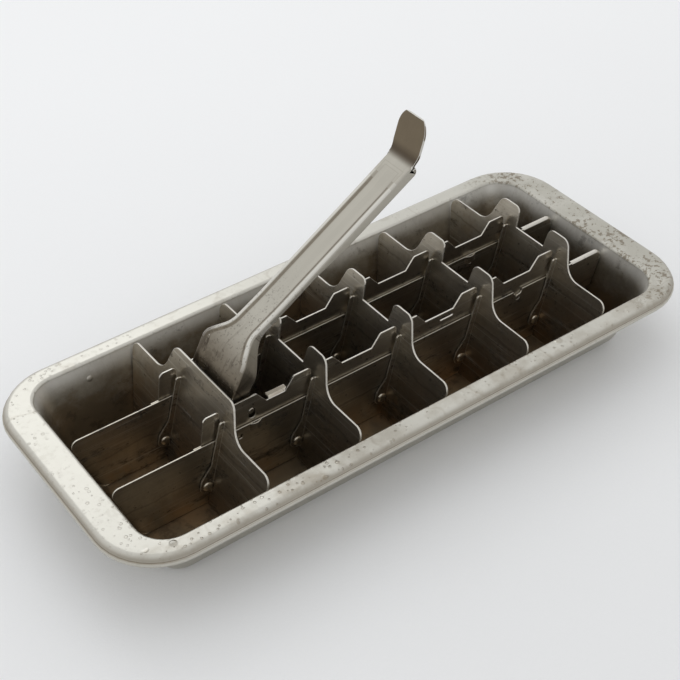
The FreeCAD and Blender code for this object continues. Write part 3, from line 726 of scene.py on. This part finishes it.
def turned(shape, profile, origin, axis):
    """Adds a body turned round an axis, from (along, radius) pairs; ends close on the axis."""
    axis = axis.normalized()
    side = axis.orthogonal().normalized()
    other = axis.cross(side)
    rows = []
    for along, radius in profile:
        centre = origin + axis * along
        if radius < WELD:
            rows.append([shape.verts.new(centre)])
            continue
        ring = []
        for step in range(TURNED_STEPS):
            turn = 2 * math.pi * step / TURNED_STEPS
            ring.append(shape.verts.new(centre + (side * math.cos(turn) + other * math.sin(turn)) * radius))
        rows.append(ring)
    for near, far in zip(rows, rows[1:]):
        for i in range(TURNED_STEPS):
            following = (i + 1) % TURNED_STEPS
            if len(near) == 1:
                shape.faces.new((near[0], far[following], far[i]))
            elif len(far) == 1:
                shape.faces.new((near[i], near[following], far[0]))
            else:
                shape.faces.new((near[i], near[following], far[following], far[i]))
    for ring in (rows[0], rows[-1]):
        if len(ring) > 1:
            shape.faces.new(ring)
    bmesh.ops.recalc_face_normals(shape, faces=shape.faces)


def press_panel(shape, faces, sizes, down, share_at):
    """Sinks the faces inside a border by a rounded step; share_at says how far each point goes down. The
    border is marked for a painted highlight on the bead, the step's rings for painted shade in the groove.
    """
    groove_shade_bead_highlight = shape.faces.layers.float["groove_shade_bead_highlight"]
    border = bmesh.ops.inset_region(shape, faces=faces, thickness=sizes.panel_border, use_even_offset=True,
                                    use_boundary=True)["faces"]
    for face in border:
        face[groove_shade_bead_highlight] = -share_at(face.calc_center_median())
    sunk = 0.0
    for index in range(PANEL_STEPS):
        ring = bmesh.ops.inset_region(shape, faces=faces, thickness=sizes.panel_step / PANEL_STEPS,
                                      use_even_offset=True, use_boundary=True)["faces"]
        for face in ring:
            middle_ring = 0 < index < PANEL_STEPS - 1
            face[groove_shade_bead_highlight] = share_at(face.calc_center_median()) if middle_ring else FAINT_GROOVE_SHADE
        across = (index + 1) / PANEL_STEPS
        depth = sizes.panel_depth * across * across * (3 - 2 * across)
        for vertex in {corner for face in faces for corner in face.verts}:
            vertex.co += down * ((depth - sunk) * share_at(vertex.co))
        sunk = depth


def sheet_of(node, edge_rounding, bend=None, bend_radius=0.0, press=None):
    """A sheet piece from its solid: bends and cut edges rounded, cut edges marked for wear and a painted
    highlight.
    """
    shape = bmesh.new()
    shape.from_mesh(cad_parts[node].data)
    # A layer for the lever panel's painted groove shade and bead highlight.
    shape.faces.layers.float.new("groove_shade_bead_highlight")
    layer = shape.faces.layers.float.new("cut_edge")
    bmesh.ops.remove_doubles(shape, verts=shape.verts, dist=WELD)
    bmesh.ops.dissolve_limit(shape, angle_limit=FLAT_ANGLE, verts=shape.verts, edges=shape.edges)
    if press is not None:
        press(shape)
    if bend is not None:
        chosen = [edge for edge in shape.edges if is_sharp(edge) and bend(edge)]
        bmesh.ops.bevel(shape, geom=chosen, offset=bend_radius, offset_type="OFFSET", segments=BEND_STEPS,
                        profile=0.5, affect="EDGES", clamp_overlap=False)
    chosen = [edge for edge in shape.edges if is_sharp(edge)]
    made = bmesh.ops.bevel(shape, geom=chosen, offset=edge_rounding, offset_type="OFFSET",
                           segments=EDGE_STEPS, profile=0.5, affect="EDGES", clamp_overlap=False)
    rounded = {face for face in made["faces"] if face.is_valid}
    for face in rounded:
        face[layer] = 1.0
    mark_cut_faces(shape, layer, rounded)
    order_faces(shape)
    return shape


def order_faces(shape):
    """Orders the faces by their corners, since rounding the edges can leave them in any order."""
    shape.verts.index_update()
    ordered = sorted(shape.faces, key=lambda face: sorted(vertex.index for vertex in face.verts),
                     reverse=True)
    for index, face in enumerate(ordered):
        face.index = index
    shape.faces.sort()


def is_sharp(edge):
    return len(edge.link_faces) == 2 and edge.calc_face_angle(0.0) > SHARP_ANGLE


def mark_cut_faces(shape, layer, rounded):
    """Marks the small faces along a sheet's cut, which lie between two rounded edges."""
    for face in shape.faces:
        if face in rounded or len(face.verts) > CUT_CORNERS:
            continue
        sides = [edge for edge in face.edges if any(other in rounded for other in edge.link_faces)]
        middles = [(edge.verts[0].co + edge.verts[1].co) / 2 for edge in sides]
        gaps = [(a - b).length for i, a in enumerate(middles) for b in middles[:i]]
        bordered = sum(edge.calc_length() for edge in sides) / face.calc_perimeter()
        if gaps and min(gaps) < mm(CUT_WIDTH) and bordered > CUT_ROUNDED_SHARE:
            face[layer] = 1.0


class TrayOperator:
    """What every operator of this file shares."""

    bl_options = {"REGISTER", "UNDO"}

    @staticmethod
    def groups(context):
        scene = context.scene
        return scene.tray_pan_sizes, scene.tray_sheet_sizes, scene.tray_colours


class TRAY_OT_pan(TrayOperator, bpy.types.Operator):
    """Make the drawn pan with its rim, lip and dimple"""

    bl_idname = "tray.pan"
    bl_label = "Pan"

    def execute(self, context):
        sizes, _, colours = self.groups(context)
        material = pan_steel(colours, sizes)
        settle(make_pan(sizes), "pan_shell", "pan", material, ["tray_pan"])

        z = cad_high_of("tray_pan").z - mm(DIMPLE_BELOW_RIM)
        wall_y = sizes.opening_width / 2 - mm(DIMPLE_BELOW_RIM) * math.tan(sizes.draft)
        origin = Vector((-sizes.opening_length / 2 + mm(DIMPLE_FROM_END), wall_y, z))
        axis = Vector((0, -math.cos(sizes.draft), math.sin(sizes.draft)))
        shape = bmesh.new()
        turned(shape, [(mm(rise), mm(radius)) for rise, radius in DIMPLE_PROFILE], origin, axis)
        settle(shape, "pan_dimple", "pan", material)
        return {"FINISHED"}


class TRAY_OT_long_dividers(TrayOperator, bpy.types.Operator):
    """Make the two folded long dividers"""

    bl_idname = "tray.long_dividers"
    bl_label = "Long dividers"

    def execute(self, context):
        _, sizes, colours = self.groups(context)
        low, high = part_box("long_divider_front")
        material = grid_steel("divider_steel", colours, ALONG, low.z, high.z, low.z)
        for side in ("front", "back"):
            node = "long_divider_" + side
            settle(sheet_of(node, sizes.edge_rounding), "divider_sheet_" + side, "grid",
                   material, [node])
        return {"FINISHED"}


class TRAY_OT_slide_bars(TrayOperator, bpy.types.Operator):
    """Make the two slide bars with their tabs"""

    bl_idname = "tray.slide_bars"
    bl_label = "Slide bars"

    def execute(self, context):
        _, sizes, colours = self.groups(context)
        low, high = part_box("slide_bar_front")
        material = grid_steel("slide_bar_steel", colours, ALONG, low.z, high.z - mm(4.0),
                              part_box("long_divider_front")[1].z + mm(0.6))
        for side in ("front", "back"):
            node = "slide_bar_" + side
            settle(sheet_of(node, sizes.edge_rounding), "bar_sheet_" + side, "bar_" + side,
                   material, [node])
        return {"FINISHED"}


class TRAY_OT_cross_dividers(TrayOperator, bpy.types.Operator):
    """Make the five cross dividers"""

    bl_idname = "tray.cross_dividers"
    bl_label = "Cross dividers"

    def execute(self, context):
        _, sizes, colours = self.groups(context)
        low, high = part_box("cross_divider_1")
        material = grid_steel("cross_divider_steel", colours, ACROSS, low.z, high.z, low.z)
        for index in range(1, PLATE_COUNT + 1):
            node = "cross_divider_%d" % index
            settle(sheet_of(node, sizes.edge_rounding), "cross_sheet_%d" % index, "cross_%d" % index,
                   material, [node])
        return {"FINISHED"}


class TRAY_OT_lever(TrayOperator, bpy.types.Operator):
    """Make the channel lever with its apron and thumb tab"""

    bl_idname = "tray.lever"
    bl_label = "Lever"

    def execute(self, context):
        _, sizes, colours = self.groups(context)
        rod_low, rod_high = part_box("lever_pivot_rod")
        rod = Vector(((rod_low.x + rod_high.x) / 2, 0, (rod_low.z + rod_high.z) / 2))
        reach = Vector((math.cos(LEVER_RAISE), 0, math.sin(LEVER_RAISE)))
        lift = Vector((-math.sin(LEVER_RAISE), 0, math.cos(LEVER_RAISE)))

        def on_bend(edge):
            """The long outer edges where the skin turns down into a flange."""
            middle = (edge.verts[0].co + edge.verts[1].co) / 2 - rod
            direction = (edge.verts[1].co - edge.verts[0].co).normalized()
            if not mm(BEND_FROM) < middle.dot(reach) < mm(BEND_TO) or middle.dot(lift) < mm(BEND_OVER):
                return False
            normals = [face.normal for face in edge.link_faces]
            skyward = max(normal.dot(lift) for normal in normals)
            outward = max(abs(normal.y) for normal in normals)
            return abs(direction.y) <= RUNNING_ACROSS and skyward > PARTLY_FACING and outward > FACING

        def share_at(place):
            """How far the panel is sunk: not at all at the foot and at the thumb bend."""
            along = (place - rod).dot(reach)
            return max(0.0, min(1.0, (along - mm(PANEL_RISES_FROM)) / mm(PANEL_RISES_OVER),
                                (mm(PANEL_FALLS_TO) - along) / mm(PANEL_FALLS_OVER)))

        def on_panel(face):
            """The top of the arm between its two edges."""
            places = [(vertex.co - rod).dot(reach) for vertex in face.verts]
            middle = face.calc_center_median() - rod
            within = min(places) > mm(PANEL_FROM) and max(places) < mm(PANEL_TO)
            above = middle.dot(lift) > mm(PANEL_OVER) and face.normal.dot(lift) > FACING
            return within and above and abs(middle.y) < mm(PANEL_HALF_WIDTH)

        def press(shape):
            """Sinks the panel, on cuts that let it fade out."""
            for cut in PANEL_CUTS:
                everything = list(shape.verts) + list(shape.edges) + list(shape.faces)
                bmesh.ops.bisect_plane(shape, geom=everything, plane_co=rod + reach * mm(cut), plane_no=reach)
            press_panel(shape, [face for face in shape.faces if on_panel(face)], sizes, -lift, share_at)

        tip = cad_high_of("lever_handle")
        material = lever_steel(colours, rod, Vector((tip.x, 0, tip.z)))
        settle(sheet_of("lever_handle", sizes.edge_rounding, on_bend, sizes.lever_bend, press),
               "lever_channel", "lever", material, ["lever_handle"])
        return {"FINISHED"}


class TRAY_OT_rivets(TrayOperator, bpy.types.Operator):
    """Make the hinge rivets, guide rivets, drive pins and the lever's rod"""

    bl_idname = "tray.rivets"
    bl_label = "Pins and rivets"

    def execute(self, context):
        _, sizes, colours = self.groups(context)
        material = rivet_steel(colours)
        for side in ("front", "back"):
            self.hinge_rivets(side, sizes.rivet_dome, material)
            self.headed("guide_rivet_head_" + side, "guide_rivet_" + side, "grid", "grid_steel", material,
                        mm(RIVET_RADIUS), mm(HEAD_HEIGHT))
            low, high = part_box("drive_pin_" + side)
            self.headed("drive_pin_turned_" + side, "drive_pin_" + side, "lever", "lever_steel", material,
                        (high.z - low.z) / 2, mm(PIN_HEAD_HEIGHT))
        self.headed("pivot_rod_turned", "lever_pivot_rod", "grid", "grid_steel", material,
                    mm(ROD_RADIUS), mm(HEAD_HEIGHT))
        return {"FINISHED"}

    @staticmethod
    def hinge_rivets(side, dome, material):
        """One side's five rivets, each with its domed head to the front."""
        low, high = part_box("plate_rivets_" + side)
        head = (high.z - low.z) / 2
        shank = head * SHANK_SHARE
        profile = [(0, 0)]
        for turn in arc_angles(DOME_START, math.pi / 2, DOME_STEPS):
            profile.append((dome * (1 - math.cos(turn)), head * math.sin(turn)))
        profile += [(dome + mm(HEAD_RIM), head), (dome + mm(2 * HEAD_RIM), shank), (high.y - low.y, shank)]
        shape = bmesh.new()
        for index in range(PLATE_COUNT):
            x = low.x + head + (high.x - low.x - 2 * head) * index / (PLATE_COUNT - 1)
            turned(shape, profile, Vector((x, low.y, (low.z + high.z) / 2)), Vector((0, 1, 0)))
        settle(shape, "hinge_rivets_" + side, "grid", material, ["plate_rivets_" + side])

    @staticmethod
    def headed(name, node, body, slot, material, shank, head_height):
        """A pin along Y with a chamfered foot and a domed head at its far end."""
        low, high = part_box(node)
        head = (high.z - low.z) / 2
        length = high.y - low.y
        chamfer = mm(PIN_CHAMFER)
        profile = [(0, 0), (0, shank - chamfer), (chamfer, shank), (length - head_height, shank)]
        for turn in arc_angles(math.pi / 2, 0.0, DOME_STEPS):
            profile.append((length - head_height * (1 - math.cos(turn)), head * math.sin(turn)))
        shape = bmesh.new()
        turned(shape, profile, Vector(((low.x + high.x) / 2, low.y, (low.z + high.z) / 2)), Vector((0, 1, 0)))
        settle(shape, name, body, material, [node])


class TRAY_OT_stage(TrayOperator, bpy.types.Operator):
    """Set the floor, the lamps, the surroundings and the camera"""

    bl_idname = "tray.stage"
    bl_label = "Stage"

    def execute(self, context):
        stage = context.scene.tray_stage
        self.lay_floor(stage)
        self.light(stage)
        self.aim(stage)
        return {"FINISHED"}

    @staticmethod
    def lay_floor(stage):
        """A wide pale floor with a faint grain, its colour a little darker near the camera as painted shade.
        """
        shape = bmesh.new()
        bmesh.ops.create_grid(shape, x_segments=FLOOR_CELLS, y_segments=FLOOR_CELLS, size=FLOOR_REACH)
        floor = bpy.data.objects.new("floor", as_mesh(shape, "floor"))
        bpy.context.scene.collection.objects.link(floor)
        paint = Paint("pale_floor")
        grain = paint.clouds(900.0, 4.0, 0.6)
        cloud = paint.clouds(5.0, 2.0)
        away = paint.node("ShaderNodeVectorMath", {"operation": "DOT_PRODUCT"},
                          {0: paint.point, 1: FLOOR_PAINTED_LIGHT_TOWARDS}, out="Value")
        # Painted shade: the floor's colour is darkened towards the camera.
        colour = paint.blend(paint.rise(away, -FLOOR_PAINTED_SHADE_REACH, FLOOR_PAINTED_SHADE_REACH),
                             dimmed(stage.floor, stage.floor_near_painted_shade), stage.floor)
        colour = paint.shaded(colour, 0.97 + grain * 0.03 + cloud * 0.02)
        bump = paint.node("ShaderNodeBump", {}, {"Strength": 0.25, "Distance": mm(0.2), "Height": grain})
        shader = paint.node("ShaderNodeBsdfPrincipled", {},
                            {"Base Color": colour, "Roughness": 0.7, "Normal": bump})
        paint.node("ShaderNodeOutputMaterial", {}, {"Surface": shader})
        floor.data.materials.append(paint.material)

    @staticmethod
    def light(stage):
        """Surroundings that are brighter behind the tray, and one large soft lamp aimed at it."""
        world = bpy.data.worlds.new("even_surroundings")
        world.use_nodes = True
        tree = world.node_tree
        background = tree.nodes["Background"]
        direction = tree.nodes.new("ShaderNodeTexCoord")
        facing = tree.nodes.new("ShaderNodeVectorMath")
        facing.operation = "DOT_PRODUCT"
        facing.inputs[1].default_value = BRIGHT_SIDE
        strength = tree.nodes.new("ShaderNodeMapRange")
        strength.interpolation_type = "SMOOTHSTEP"
        strength.inputs["From Min"].default_value = BRIGHT_SIDE_FROM
        strength.inputs["To Min"].default_value = stage.world_low
        strength.inputs["To Max"].default_value = stage.world_high
        tree.links.new(direction.outputs["Generated"], facing.inputs[0])
        tree.links.new(facing.outputs["Value"], strength.inputs["Value"])
        tree.links.new(strength.outputs["Result"], background.inputs["Strength"])
        background.inputs["Color"].default_value = WORLD_COLOUR
        bpy.context.scene.world = world

        data = bpy.data.lights.new("key_softbox", "AREA")
        data.shape = "RECTANGLE"
        data.size = LAMP_WIDTH
        data.size_y = LAMP_HEIGHT
        data.energy = stage.key_power
        data.color = LAMP_COLOUR
        lamp = bpy.data.objects.new("key_softbox", data)
        bpy.context.scene.collection.objects.link(lamp)
        lamp.location = LAMP_PLACE
        lamp.rotation_mode = "QUATERNION"
        lamp.rotation_quaternion = (-Vector(LAMP_PLACE)).to_track_quat("-Z", "Y")

    @staticmethod
    def aim(stage):
        """The camera at the photograph's place, turned by heading, pitch and roll."""
        place = Vector(CAMERA_PLACE) * MM
        flat = math.cos(CAMERA_PITCH)
        forward = Vector((math.cos(CAMERA_HEADING) * flat, math.sin(CAMERA_HEADING) * flat,
                          -math.sin(CAMERA_PITCH)))
        level = Vector((math.sin(CAMERA_HEADING), -math.cos(CAMERA_HEADING), 0))
        over = level.cross(forward)
        right = level * math.cos(CAMERA_ROLL) + over * math.sin(CAMERA_ROLL)
        top = over * math.cos(CAMERA_ROLL) - level * math.sin(CAMERA_ROLL)
        data = bpy.data.cameras.new("photo_camera")
        data.sensor_width = SENSOR_WIDTH
        data.lens = stage.lens
        data.clip_start = 0.01
        data.clip_end = 50.0
        camera = bpy.data.objects.new("photo_camera", data)
        bpy.context.scene.collection.objects.link(camera)
        turn = Matrix((right, top, -forward)).transposed().to_4x4()
        camera.matrix_world = Matrix.Translation(place) @ turn
        bpy.context.scene.camera = camera


class TRAY_PT_panel(bpy.types.Panel):
    """Lists the pieces and their settings in the sidebar"""

    bl_idname = "TRAY_PT_panel"
    bl_label = "Ice tray"
    bl_space_type = "VIEW_3D"
    bl_region_type = "UI"
    bl_category = "Ice tray"

    def draw(self, context):
        for group in ("tray_pan_sizes", "tray_sheet_sizes", "tray_colours", "tray_stage"):
            settings = getattr(context.scene, group)
            box = self.layout.box()
            for name in settings.__annotations__:
                box.prop(settings, name)
        column = self.layout.column(align=True)
        for operator in OPERATORS:
            column.operator(operator.bl_idname)


GROUPS = {
    "tray_pan_sizes": TrayPanSizes,
    "tray_sheet_sizes": TraySheetSizes,
    "tray_colours": TrayColours,
    "tray_stage": TrayStage,
}
OPERATORS = (TRAY_OT_pan, TRAY_OT_long_dividers, TRAY_OT_slide_bars, TRAY_OT_cross_dividers,
             TRAY_OT_lever, TRAY_OT_rivets, TRAY_OT_stage)


def register():
    for group in (*GROUPS.values(), *OPERATORS, TRAY_PT_panel):
        bpy.utils.register_class(group)
    for name, group in GROUPS.items():
        setattr(bpy.types.Scene, name, bpy.props.PointerProperty(type=group))


def unregister():
    for name in GROUPS:
        delattr(bpy.types.Scene, name)
    for group in (TRAY_PT_panel, *reversed(OPERATORS), *reversed(GROUPS.values())):
        bpy.utils.unregister_class(group)


def main():
    register()
    bpy.ops.tray.pan()
    bpy.ops.tray.long_dividers()
    bpy.ops.tray.slide_bars()
    bpy.ops.tray.cross_dividers()
    bpy.ops.tray.lever()
    bpy.ops.tray.rivets()
    bpy.ops.tray.stage()
    bpy.context.scene.view_settings.view_transform = "Standard"


if __name__ == "__main__":
    main()
